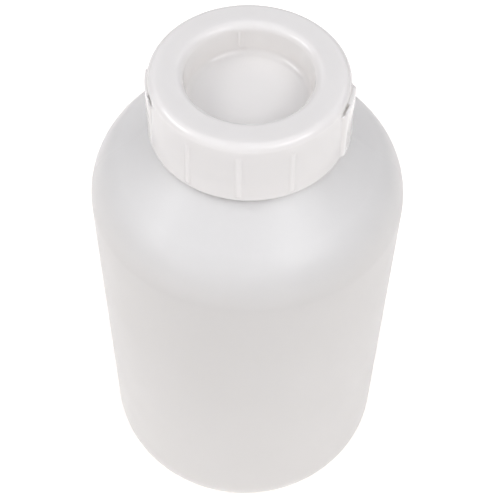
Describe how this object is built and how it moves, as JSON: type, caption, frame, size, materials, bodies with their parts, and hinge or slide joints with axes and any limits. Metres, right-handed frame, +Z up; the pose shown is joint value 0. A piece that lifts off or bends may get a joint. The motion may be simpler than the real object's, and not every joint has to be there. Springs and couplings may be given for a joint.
{
  "type": "reagent bottle",
  "caption": "Round translucent plastic wide-mouth reagent bottle with an inner sealing plug and a dished screw cap with grip ribs and side ears.",
  "frame": {"origin": "on the bottle's axis, in the plane that its foot stands on", "axes": "+Z up along the bottle's axis, -Y towards the front, +X to the right seen from the front"},
  "size_m": [0.12, 0.12, 0.2212],
  "materials": {
    "bottle_plastic": "natural translucent polyethylene, satin from the mould",
    "plug_plastic": "soft natural polyethylene, satin",
    "cap_plastic": "natural white polypropylene, semi-gloss"
  },
  "bodies": {
    "bottle": {"bottle_body": "bottle_plastic"},
    "plug": {"inner_plug": "plug_plastic"},
    "cap": {"screw_cap": "cap_plastic"}
  },
  "joints": [
    {"name": "cap_lift", "type": "slide", "parent": "bottle", "child": "plug", "axis": [0, 0, 1], "range_m": [0, 0.024]},
    {"name": "cap_turn", "type": "hinge", "parent": "plug", "child": "cap", "pos_m": [0, 0, 0.2212], "axis": [0, 0, 1], "range_deg": [0, 1440]}
  ],
  "couplings": [
    {"joint": "cap_lift", "follows": "cap_turn", "m_per_rad": 0.00095493}
  ]
}
